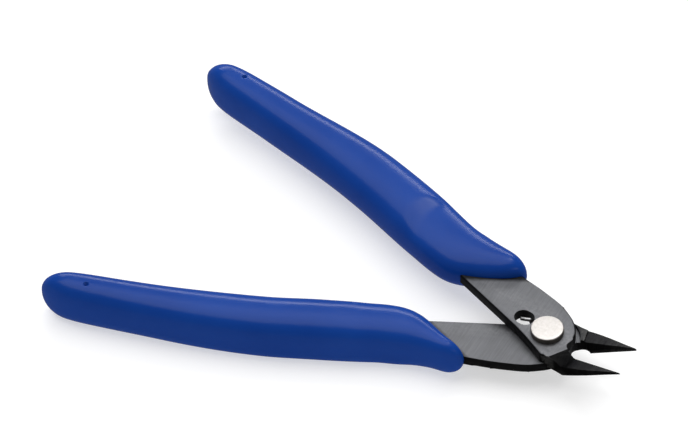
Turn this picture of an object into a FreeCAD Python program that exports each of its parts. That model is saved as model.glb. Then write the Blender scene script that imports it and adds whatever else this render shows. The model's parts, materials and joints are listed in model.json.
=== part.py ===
import FreeCAD, Part
import math
import os

import Sketcher
from FreeCAD import Placement, Rotation, Vector

# Flush cutter: two steel halves in a lap joint, one rivet, a hidden return
# spring and two moulded grips.
#
# Every piece is drawn in the local frame of the closed tool: the pivot axis is
# the local Z axis, z = 0 is the joint plane between the two plates, +X points
# to the jaw tips and y = 0 is the plane where the cutting edges meet. Each
# piece is then turned about the pivot to the open rest position and moved to
# the row frame, where +Z is up and the lower grip's underside lies at z = 0.

doc = FreeCAD.newDocument("flush_cutter")

# ---------------------------------------------------------------- dimensions
dims = doc.addObject("Spreadsheet::Sheet", "dims")
TABLE = [
    # steel halves
    ("plate_thick", 2.5),       # stamped plate, each half
    ("joint_gap", 0.02),        # half of the running gap between the plates
    ("shank_dia", 4.0),         # rivet shank
    ("bore_gap", 0.03),         # radial running gap in the upper plate
    ("slot_length", 4.6),       # spring slot, along the plate
    ("slot_width", 4.0),
    ("slot_x", -6.5),
    ("slot_y", 0.35),
    ("recess_radius", 3.6),     # spring recess round the bore
    ("recess_depth", 0.95),
    ("channel_width", 1.2),     # channel from the recess to the slot
    # jaws
    ("boss_radius", 7.1),       # jaw root clears the other half's round end
    ("blank_low", 2.5),         # jaw blank below the joint plane
    ("root_rise", 0.8),         # lower jaw root above the joint plane
    ("under_ramp_angle", 25.0), # upper jaw root, underside
    ("blank_high", 4.0),        # jaw blank above the joint plane
    ("tip_x", 19.75),
    ("flush_tip_z", 2.6),       # height of the cutting edge at the tip
    ("flush_angle", 21.0),      # flush faces rise towards the tips
    ("back_tip_z", 3.1),       # height of the jaw back at the tip
    ("back_angle", 12.0),
    ("bevel_angle", 24.0),      # inner bevel, from the vertical
    ("bevel_start", 9.0),
    ("ramp_angle", 43.0),       # ramp from the plate down to the jaw back
    # rivet
    ("head_dia", 7.2),
    ("head_height", 1.35),
    ("head_chamfer", 0.25),
    ("head_gap", 0.02),
    # spring
    ("wire_dia", 0.9),
    ("coil_radius", 2.95),
    ("leg_reach", 5.85),        # pivot to the riser in the upper slot
    ("leg_angle", 153.5),       # its direction at rest
    ("leg_top", 1.25),          # the hooked end lies at this height
    ("hook_x", -7.55),          # end of the hook at rest, from the pivot
    ("hook_y", 1.95),
    ("foot_reach", 5.8),        # pivot to the foot in the lower plate's hole
    ("foot_angle", -171.0),
    ("foot_depth", 1.75),
    ("foot_hole", 1.6),         # hole for the foot
    # grips
    ("grip_half", 5.4),         # half of the grip's thickness, about its tang
    ("vent_dia", 1.1),
    ("vent_x", -98.7),
    ("vent_y", 16.1),
    # pose in the row frame
    ("open_angle", 11.0),       # each half, away from closed
    ("pivot_x", 42.655),
    ("pivot_z", 6.65),
]
for row, (alias, value) in enumerate(TABLE, start=1):
    dims.set("A%d" % row, alias)
    dims.set("B%d" % row, repr(value))
    dims.setAlias("B%d" % row, alias)
doc.recompute()


def size(alias):
    return float(dims.get(alias))


# ------------------------------------------------------------------- outlines
# Upper half, closed frame, mm. The lower half uses the same points with y
# reversed.
INNER_EDGE = [(-100, 13.2), (-88, 12.2), (-78, 11.0), (-68, 9.6), (-58, 7.9),
              (-48, 5.95), (-38, 4.1), (-32, 3.1), (-26, 1.75), (-17, -0.35),
              (-12, -1.55), (-6, -3.0), (-1, -4.6), (2.6, -5.95)]
OUTER_EDGE = [(-100, 17.9), (-88, 17.5), (-78, 16.6), (-68, 15.6), (-58, 14.1),
              (-48, 12.3), (-38, 10.6), (-32, 9.9), (-26, 9.75), (-20, 9.8),
              (-14, 9.6), (-10, 9.35), (-7, 9.0), (-4, 8.55), (-1.7, 8.0),
              (0, 7.3), (1.6, 6.55), (3, 5.6), (4.2, 4.5), (5.0, 3.4),
              (5.45, 2.2), (5.55, 1.0), (5.45, 0.1)]
TANG_END = (-102.2, 15.6)
RELIEF = [(5.45, 0.1), (5.75, -0.65), (6.4, -1.15), (7.3, -1.35), (8.2, -1.2),
          (9.0, -0.75), (9.6, -0.03)]
TIP_IN = (19.75, -0.03)
TIP_OUT = (19.7, -0.17)
JAW_OUTER = [TIP_OUT, (17, -1.2), (14, -2.45), (10.5, -3.75), (7.8, -4.55),
             (6.0, -5.0), (4.3, -5.6), (2.6, -5.95)]

# Grip plan: x, y, and how far the section may draw in at the top and bottom.
GRIP_PLAN = [
    (-56, 16.9, 5.9), (-78, 19.3, 5.4), (-95, 19.7, 4.8), (-105.9, 18.6, 4.3),
    (-109.6, 15.3, 4.2), (-105.7, 12.1, 4.3), (-95, 10.4, 4.8),
    (-78, 8.6, 5.4), (-56, 4.85, 5.9), (-38, 1.5, 5.8), (-30.5, 0.55, 4.8),
    (-26.3, 1.6, 3.6), (-20.5, 5.1, 3.1), (-15.0, 10.1, 3.0),
    (-18.0, 12.0, 3.8), (-27, 11.4, 5.0), (-38, 13.5, 5.8),
]
# height / half thickness, width factor
GRIP_LEVELS = [(0.0, 1.0), (0.30, 0.985), (0.55, 0.94), (0.75, 0.865),
               (0.89, 0.765), (0.97, 0.66), (1.0, 0.56)]


# -------------------------------------------------------------------- helpers
def origin_plane(body, role):
    for feature in body.Origin.OriginFeatures:
        if feature.Role == role:
            return feature
    raise RuntimeError("no origin plane " + role)


def new_sketch(body, name, height=0.0, role="XY_Plane"):
    sketch = body.newObject("Sketcher::SketchObject", name)
    sketch.AttachmentSupport = [(origin_plane(body, role), "")]
    sketch.MapMode = "FlatFace"
    sketch.AttachmentOffset = Placement(Vector(0, 0, height), Rotation())
    return sketch


def spline(points, side):
    curve = Part.BSplineCurve()
    curve.interpolate([Vector(x, side * y, 0) for x, y in points])
    return curve


def line(a, b, side=1):
    return Part.LineSegment(Vector(a[0], side * a[1], 0),
                            Vector(b[0], side * b[1], 0))


def tang_arc(side):
    a, b, c = INNER_EDGE[0], TANG_END, OUTER_EDGE[0]
    return Part.Arc(Vector(a[0], side * a[1], 0), Vector(b[0], side * b[1], 0),
                    Vector(c[0], side * c[1], 0))


def circle(sketch, x, y, diameter_expression, first_diameter):
    index = sketch.addGeometry(
        Part.Circle(Vector(x, y, 0), Vector(0, 0, 1), first_diameter / 2.0))
    number = sketch.addConstraint(
        Sketcher.Constraint("Diameter", index, first_diameter))
    sketch.setExpression("Constraints[%d]" % number, diameter_expression)
    return index


def add_pad(body, sketch, name, expression, reverse=False):
    pad = body.newObject("PartDesign::Pad", name)
    pad.Profile = sketch
    pad.Reversed = reverse
    pad.setExpression("Length", expression)
    doc.recompute()
    return pad


def add_pocket(body, sketch, name, expression, reverse):
    before = body.Shape.Volume
    pocket = body.newObject("PartDesign::Pocket", name)
    pocket.Profile = sketch
    pocket.Reversed = reverse
    pocket.setExpression("Length", expression)
    doc.recompute()
    if not body.Shape.Volume < before - 1e-3:
        raise RuntimeError(name + " removed nothing")
    return pocket


def grinding_block(name, point, along, normal, length, width, height):
    """A block that stands on the plane through point. Its base runs along
    `along`, centred on the point, and it reaches `height` along `normal`."""
    n = Vector(normal).normalize()
    u = Vector(along)
    u = (u - n * u.dot(n)).normalize()
    v = n.cross(u)
    block = doc.addObject("Part::Box", name)
    block.Length, block.Width, block.Height = length, width, height
    turn = Rotation(u, v, n, "ZXY")
    base = Vector(point) - u * (length / 2.0) - v * (width / 2.0)
    block.Placement = Placement(base, turn)
    return block


# --------------------------------------------------------------- steel halves
def steel_half(name, side):
    """side = +1: upper half, -1: lower half."""
    body = doc.addObject("PartDesign::Body", name + "_blank")

    # jaw blank, thick enough for the angled head
    sk = new_sketch(body, name + "_jaw_sketch", -size("blank_low"))
    sk.addGeometry(spline(RELIEF, side))
    sk.addGeometry(line(RELIEF[-1], TIP_IN, side))
    sk.addGeometry(line(TIP_IN, TIP_OUT, side))
    sk.addGeometry(spline(JAW_OUTER, side))
    sk.addGeometry(line(JAW_OUTER[-1], RELIEF[0], side))
    add_pad(body, sk, name + "_jaw_blank", "dims.blank_low + dims.blank_high")

    # the jaw root stays clear of the other half's round end
    sk = new_sketch(body, name + "_clearance_sketch", -size("blank_low"))
    circle(sk, 0, 0, "2 * dims.boss_radius", 2 * size("boss_radius"))
    add_pocket(body, sk, name + "_round_end_clearance",
               "dims.blank_low + dims.blank_high", True)

    # plate with its tang
    sk = new_sketch(body, name + "_plate_sketch", side * size("joint_gap"))
    sk.addGeometry(spline(INNER_EDGE, side))
    sk.addGeometry(tang_arc(side))
    sk.addGeometry(spline(OUTER_EDGE, side))
    sk.addGeometry(spline(RELIEF, side))
    sk.addGeometry(line(RELIEF[-1], TIP_IN, side))
    sk.addGeometry(line(TIP_IN, TIP_OUT, side))
    sk.addGeometry(spline(JAW_OUTER, side))
    add_pad(body, sk, name + "_plate", "dims.plate_thick - dims.joint_gap",
            side < 0)

    # pivot bore: running in the upper half, tight in the lower half
    sk = new_sketch(body, name + "_bore_sketch", 0.0)
    if side > 0:
        circle(sk, 0, 0, "dims.shank_dia + 2 * dims.bore_gap",
               size("shank_dia") + 2 * size("bore_gap"))
    else:
        circle(sk, 0, 0, "dims.shank_dia", size("shank_dia"))
    add_pocket(body, sk, name + "_bore", "dims.plate_thick + 1", side > 0)

    if side > 0:
        # spring slot: two round ends and two straight sides
        sk = new_sketch(body, name + "_slot_sketch", 0.0)
        half = (size("slot_length") - size("slot_width")) / 2.0
        rad = size("slot_width") / 2.0
        cx, cy = size("slot_x"), size("slot_y")
        sk.addGeometry(Part.LineSegment(Vector(cx - half, cy + rad, 0),
                                        Vector(cx + half, cy + rad, 0)))
        sk.addGeometry(Part.Arc(Vector(cx + half, cy + rad, 0),
                                Vector(cx + half + rad, cy, 0),
                                Vector(cx + half, cy - rad, 0)))
        sk.addGeometry(Part.LineSegment(Vector(cx + half, cy - rad, 0),
                                        Vector(cx - half, cy - rad, 0)))
        sk.addGeometry(Part.Arc(Vector(cx - half, cy - rad, 0),
                                Vector(cx - half - rad, cy, 0),
                                Vector(cx - half, cy + rad, 0)))
        add_pocket(body, sk, name + "_slot", "dims.plate_thick + 1", True)
        turn = math.radians(size("leg_angle") + size("open_angle"))
        far = size("leg_reach") - 0.2
    else:
        # hole for the spring's foot
        turn = math.radians(size("foot_angle") - size("open_angle"))
        far = size("foot_reach")
        sk = new_sketch(body, name + "_foot_sketch", 0.0)
        circle(sk, far * math.cos(turn), far * math.sin(turn),
               "dims.foot_hole", size("foot_hole"))
        add_pocket(body, sk, name + "_foot_hole", "dims.plate_thick + 1", False)

    # spring recess in the mating face, and the channel that leads out of it
    sk = new_sketch(body, name + "_recess_sketch", 0.0)
    circle(sk, 0, 0, "2 * dims.recess_radius", 2 * size("recess_radius"))
    add_pocket(body, sk, name + "_recess", "dims.recess_depth", side > 0)

    sk = new_sketch(body, name + "_channel_sketch", 0.0)
    ux, uy = math.cos(turn), math.sin(turn)
    wide = size("channel_width") / 2.0
    near = 2.6
    corners = [(near * ux - wide * uy, near * uy + wide * ux),
               (far * ux - wide * uy, far * uy + wide * ux),
               (far * ux + wide * uy, far * uy - wide * ux),
               (near * ux + wide * uy, near * uy - wide * ux)]
    for k in range(4):
        sk.addGeometry(line(corners[k], corners[(k + 1) % 4]))
    add_pocket(body, sk, name + "_channel", "dims.recess_depth", side > 0)

    # ground faces of the jaw
    fa = math.radians(size("flush_angle"))
    ba = math.radians(size("back_angle"))
    va = math.radians(size("bevel_angle"))
    tip = size("tip_x")
    flush_dir = Vector(math.cos(fa), 0, math.sin(fa))
    flush_at = Vector(tip, 0, size("flush_tip_z"))
    flush = grinding_block(name + "_flush_cut", flush_at - flush_dir * 6.0,
                           flush_dir, Vector(math.sin(fa), 0, -math.cos(fa)),
                           20.0, 24.0, 9.0)

    back_dir = Vector(math.cos(ba), 0, math.sin(ba))
    back_at = Vector(tip, 0, size("back_tip_z"))
    back_length = 24.0 if side > 0 else 16.2
    back = grinding_block(name + "_back_cut",
                          back_at + back_dir * (4.0 - back_length / 2.0),
                          back_dir, Vector(-math.sin(ba), 0, math.cos(ba)),
                          back_length, 24.0, 9.0)
    if side > 0:
        # ramp from the plate's face down to the back of the jaw
        ra = math.radians(size("ramp_angle"))
        plan = Vector(0.92, -0.39, 0).normalize()
        down = Vector(plan.x * math.cos(ra), plan.y * math.cos(ra), -math.sin(ra))
        up = Vector(plan.x * math.sin(ra), plan.y * math.sin(ra), math.cos(ra))
        ramp = grinding_block(name + "_ramp_cut",
                              Vector(6.6, -0.8, size("plate_thick")),
                              down, up, 60.0, 60.0, 30.0)
        above = doc.addObject("Part::Common", name + "_back_and_ramp")
        above.Base, above.Tool = back, ramp
        # ramp from the mating face down to the flush face
        ua = math.radians(size("under_ramp_angle"))
        under_down = Vector(plan.x * math.cos(ua), plan.y * math.cos(ua),
                            -math.sin(ua))
        under_out = Vector(-plan.x * math.sin(ua), -plan.y * math.sin(ua),
                           -math.cos(ua))
        under = grinding_block(name + "_under_ramp_cut",
                               Vector(4.6, -5.5, -0.9) + under_down * 4.2,
                               under_down, under_out, 12.0, 40.0, 9.0)
    else:
        # low step at the jaw root, in front of the upper half's round end
        root = grinding_block(name + "_root_cut",
                              Vector(5.2, 0, size("root_rise")),
                              Vector(1, 0, 0), Vector(0, 0, 1), 6.0, 24.0, 9.0)
        above = doc.addObject("Part::Fuse", name + "_back_and_root")
        above.Base, above.Tool = back, root

    bevel_dir = flush_dir
    lean = Vector(0, -side * math.sin(va), math.cos(va))
    away = bevel_dir.cross(lean) * (-side)
    edge_at = Vector(tip, -side * 0.03, size("flush_tip_z"))
    reach = (tip - size("bevel_start")) / math.cos(fa)
    bevel = grinding_block(name + "_bevel_cut",
                           edge_at - bevel_dir * (reach - 9.0),
                           bevel_dir, away, 18.0, 16.0, 8.0)

    doc.recompute()
    ground = doc.addObject("Part::MultiFuse", name + "_grinding")
    ground.Shapes = [flush, above, bevel] + ([under] if side > 0 else [])
    doc.recompute()
    half = doc.addObject("Part::Cut", name)
    half.Base, half.Tool = body, ground
    half.Label = name
    doc.recompute()
    return half


upper_half = steel_half("upper_half", +1)
lower_half = steel_half("lower_half", -1)


# ---------------------------------------------------------------------- rivet
rivet = doc.addObject("PartDesign::Body", "pivot_rivet")
sk = new_sketch(rivet, "rivet_profile", 0.0, "XZ_Plane")
rs, rh = size("shank_dia") / 2.0, size("head_dia") / 2.0
t, hh, hc, hg = (size("plate_thick"), size("head_height"),
                 size("head_chamfer"), size("head_gap"))
profile = [(0, -t - hh), (rh - hc, -t - hh), (rh, -t - hh + hc), (rh, -t),
           (rs, -t), (rs, t + hg), (rh, t + hg), (rh, t + hg + hh - hc),
           (rh - hc, t + hg + hh), (0, t + hg + hh)]
for k in range(len(profile)):
    sk.addGeometry(line(profile[k], profile[(k + 1) % len(profile)]))
turned = rivet.newObject("PartDesign::Revolution", "rivet_turned")
turned.Profile = sk
turned.ReferenceAxis = (sk, ["V_Axis"])
turned.Angle = 360.0
rivet.Label = "pivot_rivet"
doc.recompute()


# --------------------------------------------------------------------- spring
def path_of(points, share=0.45):
    """Straight runs joined by tangent arcs through the corner points."""
    edges, start = [], Vector(points[0])
    for k in range(1, len(points) - 1):
        a, b, c = Vector(points[k - 1]), Vector(points[k]), Vector(points[k + 1])
        u, w = (a - b), (c - b)
        cut = share * min(u.Length, w.Length)
        u.normalize()
        w.normalize()
        p, q = b + u * cut, b + w * cut
        bend = math.pi - u.getAngle(w)
        radius = cut / math.tan(bend / 2.0)
        toward = (u + w).normalize()
        centre = b + toward * math.hypot(radius, cut)
        middle = centre - toward * radius
        edges.append(Part.LineSegment(start, p).toShape())
        edges.append(Part.Arc(p, middle, q).toShape())
        start = q
    edges.append(Part.LineSegment(start, Vector(points[-1])).toShape())
    return Part.Wire(edges)


def spring_points():
    """One open turn round the shank. The upper end rises into the slot and is
    hooked over, and the lower end goes down into its hole."""
    level = size("recess_depth") / 2.0 + 0.02
    reach, first = size("leg_reach"), math.radians(size("leg_angle"))
    foot, last = size("foot_reach"), math.radians(size("foot_angle"))
    steps = 14
    swing = last - first
    ring_r = size("coil_radius") / math.cos(abs(swing) / steps / 2.0)
    pts = [Vector(size("hook_x"), size("hook_y"), size("leg_top")),
           Vector(reach * math.cos(first), reach * math.sin(first),
                  size("leg_top")),
           Vector(reach * math.cos(first), reach * math.sin(first), level)]
    for k in range(steps + 1):
        share = k / float(steps)
        a = first + share * swing
        pts.append(Vector(ring_r * math.cos(a), ring_r * math.sin(a),
                          level * (1.0 - 2.0 * share)))
    pts.append(Vector(foot * math.cos(last), foot * math.sin(last), -level))
    pts.append(Vector(foot * math.cos(last), foot * math.sin(last),
                      -size("foot_depth")))
    return pts


spring_wire = path_of(spring_points())
start_at = spring_wire.Edges[0].valueAt(spring_wire.Edges[0].FirstParameter)
start_way = spring_wire.Edges[0].tangentAt(spring_wire.Edges[0].FirstParameter)
section = Part.Wire(Part.Circle(start_at, start_way,
                                size("wire_dia") / 2.0).toShape())
return_spring = doc.addObject("Part::Feature", "return_spring")
return_spring.Shape = spring_wire.makePipeShell([section], True, False)
return_spring.Label = "return_spring"


# ---------------------------------------------------------------------- grips
def grip_ring(width_factor, side, level):
    """Plan outline of the grip at one height, drawn in along its normals."""
    base = [Vector(x, y, 0) for x, y, _ in GRIP_PLAN]
    gaps = [(base[(k + 1) % len(base)] - base[k]).Length for k in range(len(base))]
    params, total = [0.0], 0.0
    for gap in gaps:
        total += math.sqrt(gap)
        params.append(total)
    curve = Part.BSplineCurve()
    curve.interpolate(Points=base, Parameters=params, PeriodicFlag=True)
    moved = []
    for k, (x, y, room) in enumerate(GRIP_PLAN):
        tangent = curve.tangent(params[k])[0]
        inward = Vector(0, 0, 1).cross(tangent)
        moved.append(base[k] + inward * (room * (1.0 - width_factor)))
    ring = Part.BSplineCurve()
    ring.interpolate(Points=[Vector(p.x, side * p.y, 0) for p in moved],
                     Parameters=params, PeriodicFlag=True)
    return ring


def moulded_grip(name, side):
    body = doc.addObject("PartDesign::Body", name)
    levels = [(-h, f) for h, f in reversed(GRIP_LEVELS[1:])] + GRIP_LEVELS
    centre = side * size("plate_thick") / 2.0
    sketches = []
    for number, (height, factor) in enumerate(levels):
        sk = new_sketch(body, "%s_ring_%02d" % (name, number),
                        centre + height * size("grip_half"))
        sk.addGeometry(grip_ring(factor, side, height))
        sketches.append(sk)
    doc.recompute()
    loft = body.newObject("PartDesign::AdditiveLoft", name + "_moulding")
    loft.Profile = sketches[0]
    loft.Sections = sketches[1:]
    loft.Ruled = False
    doc.recompute()

    # the steel tang is moulded in
    sk = new_sketch(body, name + "_tang_sketch", side * size("joint_gap"))
    sk.addGeometry(spline(INNER_EDGE, side))
    sk.addGeometry(tang_arc(side))
    sk.addGeometry(spline(OUTER_EDGE, side))
    sk.addGeometry(line(OUTER_EDGE[-1], INNER_EDGE[-1], side))
    add_pocket(body, sk, name + "_tang_pocket",
               "dims.plate_thick - dims.joint_gap", side > 0)

    # holes left by the pins that hold the tang in the mould
    outside = "dims.grip_half + 0.5 - dims.plate_thick / 2"
    inside = outside + " + dims.joint_gap"
    for label, way in (("top", 1), ("bottom", -1)):
        sk = new_sketch(body, "%s_vent_%s_sketch" % (name, label),
                        centre + way * (size("grip_half") + 0.5))
        circle(sk, size("vent_x"), side * size("vent_y"), "dims.vent_dia",
               size("vent_dia"))
        add_pocket(body, sk, "%s_vent_%s" % (name, label),
                   outside if way == side else inside, way < 0)
    body.Label = name
    return body


upper_grip = moulded_grip("upper_grip", +1)
lower_grip = moulded_grip("lower_grip", -1)


# ------------------------------------------------------- rest pose, row frame
pivot = Vector(size("pivot_x"), 0, size("pivot_z"))
turn = size("open_angle")
ABOUT_Z = Vector(0, 0, 1)
upper_half.Placement = Placement(pivot, Rotation(ABOUT_Z, -turn))
upper_grip.Placement = Placement(pivot, Rotation(ABOUT_Z, -turn))
lower_half.Placement = Placement(pivot, Rotation(ABOUT_Z, turn))
lower_grip.Placement = Placement(pivot, Rotation(ABOUT_Z, turn))
rivet.Placement = Placement(pivot, Rotation(ABOUT_Z, turn))
return_spring.Placement = Placement(pivot, Rotation())
doc.recompute()

# --------------------------------------------------------------------- checks
for obj in doc.Objects:
    if "Invalid" in obj.State or "Error" in obj.State:
        raise RuntimeError("failed: %s %s" % (obj.Name, obj.State))

PIECES = [upper_half, lower_half, rivet, return_spring, upper_grip, lower_grip]
for piece in PIECES:
    shape = piece.Shape
    if shape.isNull() or not shape.isValid() or len(shape.Solids) != 1:
        raise RuntimeError("bad shape: %s, %d solids"
                           % (piece.Label, len(shape.Solids)))

os.makedirs("parts", exist_ok=True)
box = FreeCAD.BoundBox()
for piece in PIECES:
    piece.Shape.exportStep(os.path.join("parts", piece.Label + ".step"))
    box.add(piece.Shape.optimalBoundingBox(False))
    print("%-14s volume %9.1f mm3  box %s" % (piece.Label, piece.Shape.Volume,
                                              piece.Shape.BoundBox))
print("whole box", box, "centre x %.3f" % box.Center.x)
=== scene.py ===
import json
import math

import bmesh
import bpy
import numpy as np
from mathutils import Matrix, Vector


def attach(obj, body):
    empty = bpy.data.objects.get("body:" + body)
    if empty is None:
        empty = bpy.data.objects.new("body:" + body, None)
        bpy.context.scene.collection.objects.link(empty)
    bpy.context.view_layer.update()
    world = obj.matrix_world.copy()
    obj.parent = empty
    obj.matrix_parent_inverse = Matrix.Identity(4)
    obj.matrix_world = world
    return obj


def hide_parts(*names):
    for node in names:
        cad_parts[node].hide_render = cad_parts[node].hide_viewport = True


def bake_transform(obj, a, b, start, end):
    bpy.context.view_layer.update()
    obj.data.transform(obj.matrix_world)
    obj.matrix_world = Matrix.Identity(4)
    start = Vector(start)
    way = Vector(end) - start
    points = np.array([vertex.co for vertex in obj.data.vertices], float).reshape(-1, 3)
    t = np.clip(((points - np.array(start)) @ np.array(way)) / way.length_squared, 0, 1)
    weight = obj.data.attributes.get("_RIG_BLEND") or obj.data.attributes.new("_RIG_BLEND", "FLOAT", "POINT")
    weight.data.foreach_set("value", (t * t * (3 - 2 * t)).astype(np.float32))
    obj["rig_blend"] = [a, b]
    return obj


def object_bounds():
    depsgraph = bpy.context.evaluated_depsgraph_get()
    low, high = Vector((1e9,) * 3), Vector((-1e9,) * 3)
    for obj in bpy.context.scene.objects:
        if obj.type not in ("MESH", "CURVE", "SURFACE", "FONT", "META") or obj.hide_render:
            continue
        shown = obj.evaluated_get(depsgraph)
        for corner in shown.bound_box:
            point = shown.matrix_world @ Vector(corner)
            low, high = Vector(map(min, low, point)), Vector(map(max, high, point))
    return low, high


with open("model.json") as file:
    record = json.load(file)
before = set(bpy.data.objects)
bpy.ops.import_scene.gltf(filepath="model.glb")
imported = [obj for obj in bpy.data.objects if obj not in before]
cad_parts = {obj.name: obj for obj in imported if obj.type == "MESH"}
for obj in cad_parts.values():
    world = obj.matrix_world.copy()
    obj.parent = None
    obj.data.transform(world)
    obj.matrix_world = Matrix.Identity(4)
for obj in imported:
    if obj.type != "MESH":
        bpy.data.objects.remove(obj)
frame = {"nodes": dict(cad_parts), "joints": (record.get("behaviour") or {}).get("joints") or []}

CAD_BOX = [list(map(float, corner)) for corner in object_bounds()]
MM = 0.001

JOINT = frame["joints"][0]
PIVOT = Vector(JOINT["pos_m"])
OPEN = math.radians(11.0)

# sizes shared with the CAD model, mm, closed frame, upper half
PLATE = 2.5
GRIP_HALF = 5.4
GRIP_PLAN = [
    (-56, 16.9), (-78, 19.3), (-95, 19.7), (-105.9, 18.6), (-109.6, 15.3),
    (-105.7, 12.1), (-95, 10.4), (-78, 8.6), (-56, 4.85), (-38, 1.5),
    (-30.5, 0.55), (-26.3, 1.6), (-20.5, 5.1), (-15.0, 10.1), (-18.0, 12.0),
    (-27, 11.4), (-38, 13.5),
]
GRIP_SPINE = [
    (-105, 15.35), (-95, 15.05), (-78, 13.95), (-56, 10.9), (-46, 8.95),
    (-38, 7.45), (-32, 6.75), (-27, 6.9), (-22.5, 8.0), (-18.5, 9.5),
]


def to_row(points, side):
    """Closed-frame mm, upper half's side up, to the row frame in metres."""
    p = np.array(points, float).copy()
    p[:, 1] *= side
    a = -side * OPEN
    c, s = math.cos(a), math.sin(a)
    x, y = p[:, 0].copy(), p[:, 1].copy()
    p[:, 0], p[:, 1] = c * x - s * y, s * x + c * y
    return p * MM + np.array(PIVOT)


def from_row(points, side):
    p = (np.array(points, float) - np.array(PIVOT)) / MM
    a = side * OPEN
    c, s = math.cos(a), math.sin(a)
    x, y = p[:, 0].copy(), p[:, 1].copy()
    p[:, 0], p[:, 1] = c * x - s * y, (s * x + c * y)
    p[:, 1] *= side
    return p


# -------------------------------------------------------------------- splines
def periodic_spline(points, params):
    """C2 periodic cubic through the points; returns a function of the parameter."""
    P = np.array(points, float)
    t = np.array(params, float)
    n = len(P)
    h = np.diff(t)
    A = np.zeros((n, n))
    B = np.zeros((n, P.shape[1]))
    for i in range(n):
        hm, hp = h[i - 1], h[i]
        nxt, prv = P[(i + 1) % n], P[i - 1]
        A[i, i - 1] += hm
        A[i, i] += 2 * (hm + hp)
        A[i, (i + 1) % n] += hp
        B[i] = 6 * ((nxt - P[i]) / hp - (P[i] - prv) / hm)
    M = np.linalg.solve(A, B)

    def at(u):
        u = np.mod(np.asarray(u, float) - t[0], t[-1] - t[0]) + t[0]
        i = np.clip(np.searchsorted(t, u, side="right") - 1, 0, n - 1)
        j = (i + 1) % n
        hi = h[i][:, None]
        a = (t[i + 1] - u)[:, None]
        b = (u - t[i])[:, None]
        return (M[i] * a ** 3 + M[j] * b ** 3) / (6 * hi) \
            + (P[i] / hi - M[i] * hi / 6) * a + (P[j] / hi - M[j] * hi / 6) * b
    return at


def open_spline(points, count):
    """Natural cubic through the points, sampled evenly by chord length."""
    P = np.array(points, float)
    n = len(P)
    t = np.concatenate([[0], np.cumsum(np.sqrt(np.linalg.norm(np.diff(P, axis=0), axis=1)))])
    h = np.diff(t)
    A = np.zeros((n, n))
    B = np.zeros((n, P.shape[1]))
    A[0, 0] = A[-1, -1] = 1
    for i in range(1, n - 1):
        A[i, i - 1], A[i, i], A[i, i + 1] = h[i - 1], 2 * (h[i - 1] + h[i]), h[i]
        B[i] = 6 * ((P[i + 1] - P[i]) / h[i] - (P[i] - P[i - 1]) / h[i - 1])
    M = np.linalg.solve(A, B)
    u = np.linspace(t[0], t[-1], count)
    i = np.clip(np.searchsorted(t, u, side="right") - 1, 0, n - 2)
    hi = h[i][:, None]
    a, b = (t[i + 1] - u)[:, None], (u - t[i])[:, None]
    return (M[i] * a ** 3 + M[i + 1] * b ** 3) / (6 * hi) \
        + (P[i] / hi - M[i] * hi / 6) * a + (P[i + 1] / hi - M[i + 1] * hi / 6) * b


def smooth(x, a, b):
    t = np.clip((np.asarray(x, float) - a) / (b - a), 0, 1)
    return t * t * (3 - 2 * t)


# -------------------------------------------------------------------- meshes
def mesh_object(name, verts, faces, shade=True):
    me = bpy.data.meshes.new(name)
    me.from_pydata([tuple(v) for v in verts], [], faces)
    me.update()
    if shade:
        me.polygons.foreach_set("use_smooth", [True] * len(me.polygons))
    ob = bpy.data.objects.new(name, me)
    bpy.context.scene.collection.objects.link(ob)
    return ob


def apply_modifiers(ob):
    bpy.context.view_layer.update()
    deps = bpy.context.evaluated_depsgraph_get()
    new = bpy.data.meshes.new_from_object(ob.evaluated_get(deps))
    old = ob.data
    ob.modifiers.clear()
    ob.data = new
    new.name = ob.name
    bpy.data.meshes.remove(old)


def tube(name, path, radius, around=20, caps=True):
    """A round wire along the path, with domed ends."""
    P = np.array(path, float)
    T = np.gradient(P, axis=0)
    T /= np.linalg.norm(T, axis=1)[:, None]
    n = np.cross(T[0], [0.3, 0.5, 0.81])
    n /= np.linalg.norm(n)
    rings, verts, faces = [], [], []

    def ring(c, nn, bb, r):
        start = len(verts)
        for k in range(around):
            a = 2 * math.pi * k / around
            verts.append(c + r * (math.cos(a) * nn + math.sin(a) * bb))
        return start
    frames = []
    for i in range(len(P)):
        n = n - T[i] * np.dot(n, T[i])
        n /= np.linalg.norm(n)
        frames.append((n.copy(), np.cross(T[i], n)))
    for k in (4, 3, 2, 1):
        a = k * math.pi / 10
        rings.append(ring(P[0] - T[0] * radius * 0.6 * math.sin(a) + T[0] * radius * 0.6,
                          *frames[0], radius * math.cos(a)))
    for i in range(1, len(P) - 1):
        rings.append(ring(P[i], *frames[i], radius))
    for k in (1, 2, 3, 4):
        a = k * math.pi / 10
        rings.append(ring(P[-1] + T[-1] * radius * 0.6 * math.sin(a) - T[-1] * radius * 0.6,
                          *frames[-1], radius * math.cos(a)))
    for a, b in zip(rings, rings[1:]):
        for k in range(around):
            m = (k + 1) % around
            faces.append((a + k, a + m, b + m, b + k))
    faces.append(tuple(reversed(range(rings[0], rings[0] + around))))
    faces.append(tuple(range(rings[-1], rings[-1] + around)))
    return mesh_object(name, verts, faces)


# ---------------------------------------------------------------------- grips
gaps = [math.dist(GRIP_PLAN[k], GRIP_PLAN[(k + 1) % len(GRIP_PLAN)])
        for k in range(len(GRIP_PLAN))]
PARAMS = np.concatenate([[0], np.cumsum(np.sqrt(gaps))])
PLAN = periodic_spline(GRIP_PLAN, PARAMS)
OUTLINE = PLAN(np.linspace(0, PARAMS[-1], 4001)[:-1])
REAR = OUTLINE[np.argmin(OUTLINE[:, 0])]
toe_dir = np.array([0.86, 0.51])
TOE = OUTLINE[np.argmax(OUTLINE @ toe_dir)]


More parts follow.
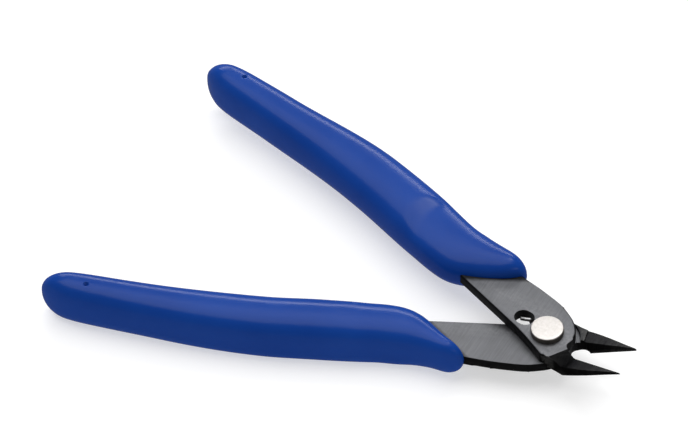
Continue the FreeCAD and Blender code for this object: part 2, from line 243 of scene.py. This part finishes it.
def chords(stations):
    """Spine points with the outline's points on each side of them."""
    spine = open_spline([tuple(REAR)] + GRIP_SPINE + [tuple(TOE)], 3000)
    arc = np.concatenate([[0], np.cumsum(np.linalg.norm(np.diff(spine, axis=0), axis=1))])
    total = arc[-1]
    S = np.column_stack([np.interp(stations * total, arc, spine[:, k]) for k in (0, 1)])
    T = np.gradient(spine, axis=0)
    T = np.column_stack([np.interp(stations * total, arc, T[:, k]) for k in (0, 1)])
    T /= np.linalg.norm(T, axis=1)[:, None]
    inner, outer = [], []
    A = OUTLINE
    B = np.roll(OUTLINE, -1, axis=0)
    for s, t in zip(S, T):
        n = np.array([-t[1], t[0]])
        da, db = (A - s) @ t, (B - s) @ t
        hit = np.nonzero((da <= 0) != (db <= 0))[0]
        w = da[hit] / (da[hit] - db[hit])
        q = A[hit] + (B[hit] - A[hit]) * w[:, None]
        k = (q - s) @ n
        inner.append(q[np.argmax(np.where(k < 0, k, -1e9))])
        outer.append(q[np.argmin(np.where(k > 0, k, 1e9))])
    return S, np.array(inner), np.array(outer), stations * total, total


# section profile: share of the half width, share of the half height
PROFILE = [(0.0, 1.0), (0.18, 0.997), (0.34, 0.987), (0.48, 0.965), (0.60, 0.925),
           (0.70, 0.868), (0.79, 0.785), (0.865, 0.68), (0.925, 0.545),
           (0.967, 0.385), (0.992, 0.20), (1.0, 0.0)]


NOSE_THIN, DISH = 0.20, {1: 0.85, -1: 0.3}
# each side: outer edge out, inner edge out, nose drawn in, rear inner edge, mm
SHAPE = {1: (2.0, 0.45, -0.95, 0.0, -27.0), -1: (0.15, 0.1, 0.8, 0.3, -52.0)}
WAIST = {1: 0.0, -1: 0.42}
END_IN = {1: 0.8, -1: 0.2}


def superellipse(c, power):
    return (1 - np.clip(np.abs(c), 0, 1) ** power) ** (1 / power)


def grip_verts(side):
    """Closed-frame points and faces of one grip."""
    n_long = 260
    e = np.linspace(0, 1, n_long)
    # closer together at both ends
    stations = 0.5 - 0.5 * np.cos(np.pi * e)
    stations = 0.55 * stations + 0.45 * e
    stations = 0.0006 + stations * (1 - 0.0012)
    S, I, O, along, total = chords(stations)
    x = S[:, 0]
    # thinner towards the nose
    half = GRIP_HALF * (1 - NOSE_THIN * smooth(x, -34.0, -17.0))
    rear, toe = along, total - along
    half *= (1 - np.clip(1 - rear / 6.5, 0, 1) ** 2.1) ** (1 / 2.1)
    half *= (1 - np.clip(1 - toe / 4.6, 0, 1) ** 2.1) ** (1 / 2.1)
    # small differences between the two mouldings
    chord = np.linalg.norm(O - I, axis=1)
    wide = (O - I) / chord[:, None]
    out_by, in_by, nose_by, rear_by, ends = SHAPE[side]
    start = smooth(x, -86.0, -58.0)
    front = smooth(x, -33.0, -21.0) * smooth(chord, 0.0, 8.0)
    tail = (1 - smooth(x, -88.0, -64.0)) * smooth(chord, 0.0, 6.0)
    O = O + wide * (out_by * start * (1 - smooth(x, ends, ends + 13.0))
                    - nose_by * 0.45 * front)[:, None]
    I = I + wide * (in_by * start * (1 - smooth(x, -57.0, -40.0))
                    + nose_by * front + rear_by * tail)[:, None]
    waist = WAIST[side] * smooth(x, -60.0, -48.0) * (1 - smooth(x, -36.0, -28.0))
    O = O - wide * waist[:, None]
    I = I - wide * waist[:, None]
    push = -nose_by * 0.9 * smooth(x, -25.0, -15.0)
    O = O + push[:, None] * toe_dir
    I = I + push[:, None] * toe_dir
    toe_end = TOE + push[-1] * toe_dir
    draw = END_IN[side] * (1 - smooth(x, -109.5, -96.0))
    O[:, 0] += draw
    I[:, 0] += draw
    rear_end = REAR + np.array([draw[0], 0])
    # closed section, outer -> top -> inner -> bottom, by its share of the width
    turn = np.linspace(0, 2 * math.pi, 97)[:-1]
    cx = np.sign(np.cos(turn)) * np.abs(np.cos(turn)) ** 0.6
    up = np.where(np.sin(turn) > 1e-9, 1.0, np.where(np.sin(turn) < -1e-9, -1.0, 0.0))
    m = len(cx)
    centre = side * PLATE / 2
    mid, reach = (I + O) / 2, (O - I) / 2
    mix = smooth(x, -88.0, -62.0)
    ease = smooth(x, -32.0, -20.0)
    outer_low = 3.1 + 1.7 * mix - 2.3 * ease
    outer_top = 2.6 + 0.2 * mix - 0.4 * ease
    inner_low = 2.9 - 0.5 * mix - 0.2 * ease
    inner_top = 2.6 - 0.3 * mix - 0.1 * ease
    # the panel ends in a shallow scoop with a curved rim
    fade = 1 - 0.75 * smooth(x, -34.0, -19.0)
    verts = []
    for i in range(n_long):
        z = np.where(cx > 0,
                     np.where(up > 0, superellipse(cx, outer_top[i]), superellipse(cx, outer_low[i])),
                     np.where(up > 0, superellipse(cx, inner_top[i]), superellipse(cx, inner_low[i])))
        rim = -45.5 + 3.5 * (cx - 0.1) ** 2
        hollow = DISH[side] * fade[i] * smooth((x[i] - rim) / 5.5, 0.0, 1.0)
        hollow = np.where(up > 0, hollow * np.clip(1 - np.abs(cx) ** 3, 0, 1), 0.0)
        p = mid[i] + np.outer(cx, reach[i])
        h = centre + up * half[i] * z - hollow * half[i] / GRIP_HALF
        for k in range(m):
            verts.append((p[k][0], p[k][1], h[k]))
    faces = []
    for i in range(n_long - 1):
        for k in range(m):
            j = (k + 1) % m
            faces.append((i * m + k, i * m + j, (i + 1) * m + j, (i + 1) * m + k))
    verts.append((rear_end[0], rear_end[1], centre))
    verts.append((toe_end[0], toe_end[1], centre))
    a, b = len(verts) - 2, len(verts) - 1
    for k in range(m):
        j = (k + 1) % m
        faces.append((a, j, k))
        last = (n_long - 1) * m
        faces.append((b, last + k, last + j))
    return verts, faces


def build_grip(name, side):
    verts, faces = grip_verts(side)
    centre = side * PLATE / 2
    ob = mesh_object(name, to_row(verts, side), faces)
    bm = bmesh.new()
    bm.from_mesh(ob.data)
    bmesh.ops.recalc_face_normals(bm, faces=bm.faces)
    bm.to_mesh(ob.data)
    bm.free()
    # pin holes, top and bottom, down to the tang
    for number, way in enumerate((1, -1)):
        at = to_row([(-98.7, 16.1, centre + way * (PLATE / 2 + (GRIP_HALF - PLATE / 2) / 2 + 0.4))],
                    side)[0]
        bpy.ops.mesh.primitive_cylinder_add(vertices=32, radius=0.55 * MM,
                                            depth=(GRIP_HALF - PLATE / 2 + 0.8) * MM,
                                            location=tuple(at))
        pin = bpy.context.object
        mod = ob.modifiers.new("pin", "BOOLEAN")
        mod.operation = "DIFFERENCE"
        mod.solver = "EXACT"
        mod.object = pin
        apply_modifiers(ob)
        data = pin.data
        bpy.data.objects.remove(pin)
        bpy.data.meshes.remove(data)
    ob.data.polygons.foreach_set("use_smooth", [True] * len(ob.data.polygons))
    return ob


# --------------------------------------------------------------- steel halves
def cad_copy(node, name, merge=2e-6):
    """A new piece with the CAD node's shape, its seams closed and flat areas cleared."""
    me = frame["nodes"][node].data.copy()
    me.name = name
    for att in [a.name for a in me.attributes if a.name in ("custom_normal",)]:
        me.attributes.remove(me.attributes[att])
    me.materials.clear()
    ob = bpy.data.objects.new(name, me)
    bpy.context.scene.collection.objects.link(ob)
    bm = bmesh.new()
    bm.from_mesh(me)
    bmesh.ops.remove_doubles(bm, verts=bm.verts, dist=merge)
    bmesh.ops.dissolve_limit(bm, angle_limit=math.radians(0.6), verts=bm.verts,
                             edges=bm.edges, use_dissolve_boundaries=False)
    bm.to_mesh(me)
    bm.free()
    return ob


def soften(ob, side):
    """Rounds the plate's edges, more on the outer face than on the mating face."""
    bm = bmesh.new()
    bm.from_mesh(ob.data)
    for level, width, segments in ((side * 2.5, 0.45, 4), (side * 0.02, 0.16, 2)):
        bm.verts.ensure_lookup_table()
        co = from_row([tuple(v.co) for v in bm.verts], side)
        z = (np.array([v.co.z for v in bm.verts]) - PIVOT.z) / MM
        chosen = []
        for e in bm.edges:
            if len(e.link_faces) != 2:
                continue
            a, b = e.verts[0].index, e.verts[1].index
            if abs(z[a] - level) > 0.012 or abs(z[b] - level) > 0.012:
                continue
            if e.calc_face_angle(0) < math.radians(50):
                continue
            p = (co[a] + co[b]) / 2
            if p[0] > 3.4 and p[1] < 2.0:
                continue
            if math.hypot(p[0], p[1]) < 3.75 or math.hypot(p[0] + 6.5, p[1] - 0.35) < 2.9:
                continue
            chosen.append(e)
        bmesh.ops.bevel(bm, geom=chosen, offset=width * MM, offset_type="OFFSET",
                        segments=segments, profile=0.5, affect="EDGES",
                        clamp_overlap=False)
    bm.to_mesh(ob.data)
    bm.free()


def jaw_faces(ob, side):
    """Second material slot on the ground faces of the jaw, by place."""
    for poly in ob.data.polygons:
        c = from_row([tuple(poly.center)], side)[0]
        r = math.hypot(c[0], c[1])
        poly.material_index = 1 if (r > 6.4 and c[0] > (3.0 if side > 0 else 0.8)) else 0


# ----------------------------------------------------------------- materials
class Nodes:
    """Short spellings for building a node tree."""

    def __init__(self, name):
        self.mat = bpy.data.materials.new(name)
        self.mat.use_nodes = True
        self.tree = self.mat.node_tree
        self.tree.nodes.clear()
        self.out = self.add("ShaderNodeOutputMaterial")
        self.bsdf = self.add("ShaderNodeBsdfPrincipled")
        self.link(self.bsdf.outputs[0], self.out.inputs[0])

    def add(self, kind, **values):
        node = self.tree.nodes.new(kind)
        for key, value in values.items():
            if key.startswith("in_"):
                node.inputs[key[3:].replace("_", " ")].default_value = value
            else:
                setattr(node, key, value)
        return node

    def link(self, a, b):
        self.tree.links.new(a, b)

    def coords(self, scale=(1, 1, 1), rotate=(0, 0, 0)):
        tex = self.add("ShaderNodeTexCoord")
        mp = self.add("ShaderNodeMapping")
        mp.inputs["Scale"].default_value = scale
        mp.inputs["Rotation"].default_value = rotate
        self.link(tex.outputs["Object"], mp.inputs["Vector"])
        return mp.outputs[0]

    def noise(self, vector, scale, detail=4.0, rough=0.55):
        node = self.add("ShaderNodeTexNoise")
        node.inputs["Scale"].default_value = scale
        node.inputs["Detail"].default_value = detail
        node.inputs["Roughness"].default_value = rough
        self.link(vector, node.inputs["Vector"])
        return node.outputs["Fac"]

    def ramp(self, fac, stops):
        node = self.add("ShaderNodeValToRGB")
        el = node.color_ramp.elements
        while len(el) > 1:
            el.remove(el[-1])
        el[0].position, el[0].color = stops[0][0], self._c(stops[0][1])
        for pos, col in stops[1:]:
            e = el.new(pos)
            e.color = self._c(col)
        self.link(fac, node.inputs[0])
        return node.outputs[0]

    @staticmethod
    def _c(v):
        return (v, v, v, 1) if isinstance(v, (int, float)) else (*v, 1)

    def math(self, op, a, b=None, clamp=False):
        node = self.add("ShaderNodeMath", operation=op, use_clamp=clamp)
        for k, v in enumerate((a, b)):
            if v is None:
                continue
            if isinstance(v, (int, float)):
                node.inputs[k].default_value = v
            else:
                self.link(v, node.inputs[k])
        return node.outputs[0]

    def mix(self, fac, a, b, blend="MIX"):
        node = self.add("ShaderNodeMix", data_type="RGBA", blend_type=blend)
        for sock, v in ((node.inputs[0], fac), (node.inputs[6], a), (node.inputs[7], b)):
            if isinstance(v, (int, float)):
                sock.default_value = v if sock is node.inputs[0] else (v, v, v, 1)
            elif isinstance(v, tuple):
                sock.default_value = (*v, 1)
            else:
                self.link(v, sock)
        return node.outputs[2]

    def bump(self, height, strength, distance, normal=None):
        node = self.add("ShaderNodeBump")
        node.inputs["Strength"].default_value = strength
        node.inputs["Distance"].default_value = distance
        self.link(height, node.inputs["Height"])
        if normal is not None:
            self.link(normal, node.inputs["Normal"])
        return node.outputs[0]

    def set(self, **values):
        for key, value in values.items():
            sock = self.bsdf.inputs[key.replace("_", " ")]
            if isinstance(value, (int, float, tuple)):
                sock.default_value = (*value, 1) if isinstance(value, tuple) else value
            else:
                self.link(value, sock)


def blue_vinyl():
    n = Nodes("blue_vinyl")
    v = n.coords()
    cloud = n.noise(v, 60, 3)
    fine = n.noise(v, 1400, 3)
    base = n.ramp(cloud, [(0.3, (0.0038, 0.043, 0.270)), (0.7, (0.0050, 0.051, 0.305))])
    # handling wear: ridges slightly paler and duller
    geo = n.add("ShaderNodeNewGeometry")
    ridge = n.ramp(geo.outputs["Pointiness"], [(0.50, 0.0), (0.56, 1.0)])
    worn = n.math("MULTIPLY", ridge, n.ramp(n.noise(v, 260, 5), [(0.45, 0.0), (0.7, 1.0)]))
    colour = n.mix(n.math("MULTIPLY", worn, 0.20), base, (0.020, 0.110, 0.40))
    # fine rubbing marks along the grip
    rub = n.noise(n.coords(scale=(0.18, 1.6, 1.0)), 900, 4)
    rub = n.ramp(rub, [(0.52, 0.0), (0.64, 1.0)])
    colour = n.mix(n.math("MULTIPLY", rub, 0.015), colour, (0.02, 0.10, 0.38))
    rough = n.math("ADD", n.math("MULTIPLY", cloud, 0.08), 0.20)
    rough = n.math("ADD", rough, n.math("MULTIPLY", rub, 0.015))
    rough = n.math("ADD", rough, n.math("MULTIPLY", worn, 0.06))
    normal = n.bump(fine, 0.10, 0.00003)
    normal = n.bump(n.noise(v, 150, 2), 0.22, 0.00006, normal)
    normal = n.bump(rub, 0.01, 0.000004, normal)
    n.set(Base_Color=colour, Roughness=rough, Normal=normal, Metallic=0.0)
    n.bsdf.inputs["Specular IOR Level"].default_value = 0.13
    return n.mat


def oxide_plate(name, turn, side):
    """Black oxide over fine diagonal grinding; side walls and holes stay black."""
    n = Nodes(name)
    v = n.coords()
    tex = n.add("ShaderNodeTexCoord")
    sep = n.add("ShaderNodeSeparateXYZ")
    n.link(tex.outputs["Normal"], sep.inputs[0])
    up = n.math("ABSOLUTE", sep.outputs[2])
    face = n.ramp(up, [(0.80, 0.0), (0.97, 1.0)])
    lines_at = n.coords(scale=(1.0, 0.035, 1.0), rotate=(0, 0, turn))
    lines = n.noise(lines_at, 4600, 5, 0.6)
    broad = n.noise(lines_at, 1500, 3)
    cloud = n.noise(v, 220, 5)
    ground = n.ramp(lines, [(0.35, (0.090, 0.092, 0.098)), (0.66, (0.116, 0.118, 0.126))])
    ground = n.mix(n.math("MULTIPLY", n.ramp(broad, [(0.45, 0.0), (0.75, 1.0)]), 0.20),
                   ground, (0.145, 0.145, 0.152))
    ground = n.mix(n.math("MULTIPLY", n.ramp(cloud, [(0.35, 1.0), (0.6, 0.0)]), 0.25),
                   ground, (0.068, 0.068, 0.072))
    wall = n.ramp(n.noise(v, 700, 4), [(0.3, (0.006, 0.006, 0.007)), (0.7, (0.014, 0.014, 0.015))])
    geo = n.add("ShaderNodeNewGeometry")
    edge = n.ramp(geo.outputs["Pointiness"], [(0.53, 0.0), (0.62, 1.0)])
    edge = n.math("MULTIPLY", edge, n.ramp(n.noise(v, 1200, 4), [(0.4, 0.2), (0.6, 1.0)]))
    colour = n.mix(face, wall, ground)
    colour = n.mix(n.math("MULTIPLY", edge, 0.18), colour, (0.30, 0.30, 0.31))
    # painted shade: a dark line on the plate along the grip's mouth, standing in for the shade under the
    # grip's lip
    a, b = to_row([(-24.3, 3.0, 0), (-24.3 + 6.0, 3.0 - 8.0, 0)], side)
    out = Vector(b - a).normalized()
    dot = n.add("ShaderNodeVectorMath", operation="DOT_PRODUCT")
    n.link(tex.outputs["Object"], dot.inputs[0])
    dot.inputs[1].default_value = out
    start = float(Vector(a).dot(out)) + (0.0006 if side > 0 else -0.0012)
    away = n.math("SUBTRACT", dot.outputs["Value"], start)
    away = n.math("ADD", n.math("MULTIPLY", away, 1000.0),
                  n.math("MULTIPLY", n.noise(v, 900, 3), 0.5))
    # painted shade band, darkest at the mouth and fading away from the grip
    painted_mouth_shade = n.ramp(n.math("MULTIPLY", away, 0.2), [(0.24, 1.0), (0.44, 0.0)])
    colour = n.mix(n.math("MULTIPLY", painted_mouth_shade, 0.92), colour, (0.006, 0.006, 0.007))
    rough = n.mix(face, 0.50, n.math("ADD", n.math("MULTIPLY", lines, 0.10), 0.44))
    normal = n.bump(lines, 0.14, 0.000010)
    normal = n.bump(n.noise(v, 500, 4), 0.15, 0.00002, normal)
    n.set(Base_Color=colour, Roughness=rough, Normal=normal,
          Metallic=n.math("ADD", n.math("MULTIPLY", face, 0.15), 0.8))
    n.bsdf.inputs["Specular IOR Level"].default_value = 0.2
    return n.mat


def oxide_jaw(name, turn, painted_light_scale):
    """Darker oxide on the ground jaw, with a brown cast on the steep bevels; painted_light_scale makes each
    half's jaw brighter or darker as painted light and shade.
    """
    n = Nodes(name)
    v = n.coords()
    tex = n.add("ShaderNodeTexCoord")
    sep = n.add("ShaderNodeSeparateXYZ")
    n.link(tex.outputs["Normal"], sep.inputs[0])
    up = n.math("ABSOLUTE", sep.outputs[2])
    lines_at = n.coords(scale=(1.0, 0.05, 0.05), rotate=(0, 0, turn))
    lines = n.noise(lines_at, 4200, 4, 0.6)
    cloud = n.noise(v, 320, 4)
    # painted light and shade: the jaw colour is scaled brighter or darker per half
    dark = n.ramp(lines, [(0.35, tuple(painted_light_scale * c for c in (0.007, 0.007, 0.008))),
                          (0.68, tuple(painted_light_scale * c for c in (0.015, 0.015, 0.016)))])
    dark = n.mix(n.math("MULTIPLY", n.ramp(cloud, [(0.4, 0.0), (0.7, 1.0)]), 0.4),
                 dark, (0.022, 0.022, 0.022))
    steep = n.ramp(up, [(0.25, 1.0), (0.6, 0.0)])
    colour = n.mix(n.math("MULTIPLY", steep, 0.45), dark, (0.012, 0.011, 0.011))
    geo = n.add("ShaderNodeNewGeometry")
    edge = n.ramp(geo.outputs["Pointiness"], [(0.54, 0.0), (0.66, 1.0)])
    edge = n.math("MULTIPLY", edge, n.ramp(n.noise(v, 1500, 4), [(0.35, 0.3), (0.6, 1.0)]))
    colour = n.mix(n.math("MULTIPLY", edge, 0.30), colour, (0.26, 0.26, 0.255))
    rough = n.math("ADD", n.math("MULTIPLY", lines, 0.18), 0.30)
    normal = n.bump(lines, 0.20, 0.000010)
    n.set(Base_Color=colour, Roughness=rough, Normal=normal, Metallic=0.97,
          Specular_Tint=(0.35, 0.35, 0.35))
    return n.mat


def bright_steel():
    n = Nodes("bright_steel")
    v = n.coords()
    mottle = n.noise(v, 1500, 5, 0.6)
    broad = n.noise(v, 480, 3)
    scratch = n.noise(n.coords(scale=(1.0, 0.06, 1.0), rotate=(0, 0, 0.6)), 5200, 3)
    scratch = n.ramp(scratch, [(0.58, 0.0), (0.66, 1.0)])
    colour = n.ramp(mottle, [(0.3, (0.40, 0.38, 0.36)), (0.7, (0.49, 0.47, 0.455))])
    colour = n.mix(n.math("MULTIPLY", n.ramp(broad, [(0.5, 0.0), (0.75, 1.0)]), 0.4),
                   colour, (0.43, 0.40, 0.37))
    colour = n.mix(n.math("MULTIPLY", scratch, 0.25), colour, (0.32, 0.30, 0.285))
    tex = n.add("ShaderNodeTexCoord")
    sep = n.add("ShaderNodeSeparateXYZ")
    n.link(tex.outputs["Normal"], sep.inputs[0])
    # painted shade: the head's steep sides are darker and browner than its flat faces
    side = n.ramp(n.math("ABSOLUTE", sep.outputs[2]), [(0.15, 1.0), (0.6, 0.0)])
    colour = n.mix(n.math("MULTIPLY", side, 0.8), colour, (0.16, 0.14, 0.12))
    rough = n.math("ADD", n.math("MULTIPLY", mottle, 0.22), 0.24)
    normal = n.bump(mottle, 0.25, 0.000012)
    normal = n.bump(broad, 0.35, 0.00003, normal)
    normal = n.bump(scratch, 0.20, 0.000006, normal)
    n.set(Base_Color=colour, Roughness=rough, Normal=normal, Metallic=1.0)
    return n.mat


def spring_steel():
    n = Nodes("spring_steel")
    v = n.coords()
    drawn = n.noise(n.coords(scale=(1, 1, 0.3)), 3000, 4)
    colour = n.ramp(drawn, [(0.3, (0.26, 0.26, 0.27)), (0.7, (0.42, 0.42, 0.42))])
    rough = n.math("ADD", n.math("MULTIPLY", n.noise(v, 900, 3), 0.2), 0.24)
    n.set(Base_Color=colour, Roughness=rough, Normal=n.bump(drawn, 0.15, 0.00001),
          Metallic=1.0)
    return n.mat


# ------------------------------------------------------------------- assembly
VINYL = blue_vinyl()
RIVET = bright_steel()
WIRE = spring_steel()

for side, word, body in ((1, "upper", "upper_side"), (-1, "lower", "lower_side")):
    grip = build_grip(word + "_grip_moulding", side)
    grip.data.materials.clear()
    grip.data.materials.append(VINYL)
    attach(grip, body)
    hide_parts(word + "_grip")

    half = cad_copy(word + "_half", word + "_half_steel")
    soften(half, side)
    half.data.materials.append(oxide_plate(word + "_plate_oxide", 0.75 - side * OPEN, side))
    # the two jaws get different brightness scales, painted light and shade
    half.data.materials.append(oxide_jaw(word + "_jaw_oxide", 0.2 - side * OPEN, 0.85 if side > 0 else 1.3))
    jaw_faces(half, side)
    half.data.polygons.foreach_set("use_smooth", [True] * len(half.data.polygons))
    half.data.set_sharp_from_angle(angle=math.radians(24))
    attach(half, body)
    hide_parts(word + "_half")


def lathe(name, profile, centre, steps=96):
    verts, faces = [], []
    rows = []
    for r, z in profile:
        if r < 1e-9:
            rows.append([len(verts)])
            verts.append((centre[0], centre[1], centre[2] + z))
            continue
        row = []
        for k in range(steps):
            a = 2 * math.pi * k / steps
            row.append(len(verts))
            verts.append((centre[0] + r * math.cos(a), centre[1] + r * math.sin(a), centre[2] + z))
        rows.append(row)
    for a, b in zip(rows, rows[1:]):
        for k in range(steps):
            m = (k + 1) % steps
            if len(a) == 1:
                faces.append((a[0], b[k], b[m]))
            elif len(b) == 1:
                faces.append((a[k], b[0], a[m]))
            else:
                faces.append((a[k], b[k], b[m], a[m]))
    ob = mesh_object(name, verts, faces)
    bm = bmesh.new()
    bm.from_mesh(ob.data)
    bmesh.ops.recalc_face_normals(bm, faces=bm.faces)
    bm.to_mesh(ob.data)
    bm.free()
    return ob


# rivet: set heads with soft rims on a plain shank
HEAD_R, HEAD_H, SHANK_R, GAP = 3.6, 1.35, 2.0, 0.02
low, high = -PLATE, PLATE + GAP


def head(base, way):
    """Profile from the shank's corner out, over the rim and in to the axis."""
    pts = [(SHANK_R, base), (HEAD_R - 0.05, base), (HEAD_R, base + way * 0.05)]
    rim = 0.30
    for k in range(0, 8):
        a = k / 7 * math.pi / 2
        pts.append((HEAD_R - rim + rim * math.cos(a),
                    base + way * (HEAD_H - 0.03 - rim + rim * math.sin(a))))
    for share in (0.75, 0.5, 0.25, 0.0):
        r = (HEAD_R - rim) * share
        pts.append((r, base + way * (HEAD_H - 0.03 * share ** 2)))
    return pts


up_head, low_head = head(high, 1), head(low, -1)
profile = list(reversed(low_head)) + up_head
profile = [(r * MM, z * MM) for r, z in profile]
rivet = lathe("pivot_rivet_turned", profile, PIVOT)
rivet.data.materials.append(RIVET)
rivet.data.set_sharp_from_angle(angle=math.radians(40))
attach(rivet, "lower_side")
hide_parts("pivot_rivet")


# return spring: one open turn round the shank, hooked over in the slot above
# and turned down into its hole below
def spring_path():
    level, first, last = 0.95 / 2 + 0.02, math.radians(153.5), math.radians(-171)
    steps = 14
    ring_r = 2.95 / math.cos((first - last) / steps / 2)
    turn = [first + (last - first) * k / steps for k in range(steps + 1)]
    hx, hy = 5.85 * math.cos(first), 5.85 * math.sin(first)
    fx, fy = 5.8 * math.cos(last), 5.8 * math.sin(last)
    corners = [(-7.55, 1.95, 1.25), (hx, hy, 1.25), (hx, hy, level)]
    corners += [(ring_r * math.cos(a), ring_r * math.sin(a), level * (1 - 2 * k / steps))
                for k, a in enumerate(turn)]
    corners += [(fx, fy, -level), (fx, fy, -1.75)]
    corners = [np.array(c) for c in corners]
    # straight runs joined by tangent arcs
    pts = [corners[0]]
    for a, b, c in zip(corners, corners[1:], corners[2:]):
        u, w = a - b, c - b
        cut = 0.45 * min(np.linalg.norm(u), np.linalg.norm(w))
        u, w = u / np.linalg.norm(u), w / np.linalg.norm(w)
        bend = math.pi - math.acos(max(-1, min(1, float(u @ w))))
        radius = cut / math.tan(bend / 2)
        way = (u + w) / np.linalg.norm(u + w)
        centre = b + way * math.hypot(radius, cut)
        p, q = b + u * cut - centre, b + w * cut - centre
        across_arc = q - p * float(p @ q) / radius ** 2
        across_arc *= radius / np.linalg.norm(across_arc)
        for k in range(9):
            t = bend * k / 8
            pts.append(centre + p * math.cos(t) + across_arc * math.sin(t))
    pts.append(corners[-1])
    return np.array(pts) * MM + np.array(PIVOT)


spring = tube("return_spring_wire", spring_path(), 0.45 * MM)
spring.data.materials.append(WIRE)
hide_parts("return_spring")
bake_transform(spring, "lower_side", "upper_side",
         start=(PIVOT.x, PIVOT.y, PIVOT.z - 0.40 * MM),
         end=(PIVOT.x, PIVOT.y, PIVOT.z + 0.40 * MM))


# ---------------------------------------------------------------------- stage
def floor_material():
    n = Nodes("pale_floor")
    v = n.coords()
    col = n.ramp(n.noise(v, 9, 2), [(0.3, (0.54, 0.54, 0.543)), (0.7, (0.55, 0.55, 0.55))])
    n.set(Base_Color=col, Roughness=0.9, Normal=n.bump(n.noise(v, 300, 3), 0.02, 0.0002))
    n.bsdf.inputs["Specular IOR Level"].default_value = 0.1
    n.bsdf.inputs["Emission Color"].default_value = (1, 1, 1, 1)
    n.bsdf.inputs["Emission Strength"].default_value = 0.55
    return n.mat


bpy.ops.mesh.primitive_plane_add(size=30, location=(0, 0, -0.0002))
floor = bpy.context.object
floor.name = "floor"
floor.data.materials.append(floor_material())
floor.visible_glossy = False

world = bpy.data.worlds.new("studio")
bpy.context.scene.world = world
world.use_nodes = True
world.node_tree.nodes["Background"].inputs[0].default_value = (1.0, 1.0, 1.0, 1)
world.node_tree.nodes["Background"].inputs[1].default_value = 0.22


def area(name, where, size, power, target=(0, 0, 0), shape="RECTANGLE", size_y=None):
    data = bpy.data.lights.new(name, "AREA")
    data.shape = shape
    data.size = size
    if size_y:
        data.size_y = size_y
    data.energy = power
    ob = bpy.data.objects.new(name, data)
    bpy.context.scene.collection.objects.link(ob)
    ob.location = where
    aim = Vector(target) - Vector(where)
    ob.rotation_euler = aim.to_track_quat("-Z", "Y").to_euler()
    return ob


AZ, EL = math.radians(27.5), math.radians(46.8)
toward = Vector((math.sin(AZ) * math.cos(EL), -math.cos(AZ) * math.cos(EL), math.sin(EL)))
across = Vector((math.cos(AZ), math.sin(AZ), 0))
back = Vector((-toward.x, -toward.y, 0)).normalized()

area("key", Vector((0, 0, 1.35)) + back * 0.30 - across * 0.20, 1.5, 16.0, size_y=1.2)
area("card", back * 1.05 + Vector((0, 0, 1.12)), 1.3, 0.42, size_y=0.9)
area("glint", (0.02, 0.80, 1.04), 0.22, 2.0, size_y=0.22)
area("rear", back * 1.24 + Vector((0, 0, 0.60)), 1.1, 6.6, size_y=0.24)
area("fill", toward * 1.4 + across * 0.9, 0.9, 2.0)

cam_data = bpy.data.cameras.new("camera")
cam = bpy.data.objects.new("camera", cam_data)
bpy.context.scene.collection.objects.link(cam)
aim_at = (Vector(CAD_BOX[0]) + Vector(CAD_BOX[1])) / 2 - across * 0.0065 + back * 0.0165
cam.location = PIVOT + toward * 1.2255
ahead = (aim_at - cam.location).normalized()
right = (across - ahead * across.dot(ahead)).normalized()
cam.rotation_euler = Matrix((right, right.cross(ahead), -ahead)).transposed().to_euler()
cam_data.sensor_width = 36
cam_data.lens = 300
cam_data.clip_start = 0.05
cam_data.clip_end = 60
bpy.context.scene.camera = cam
bpy.context.scene.view_settings.view_transform = "Standard"
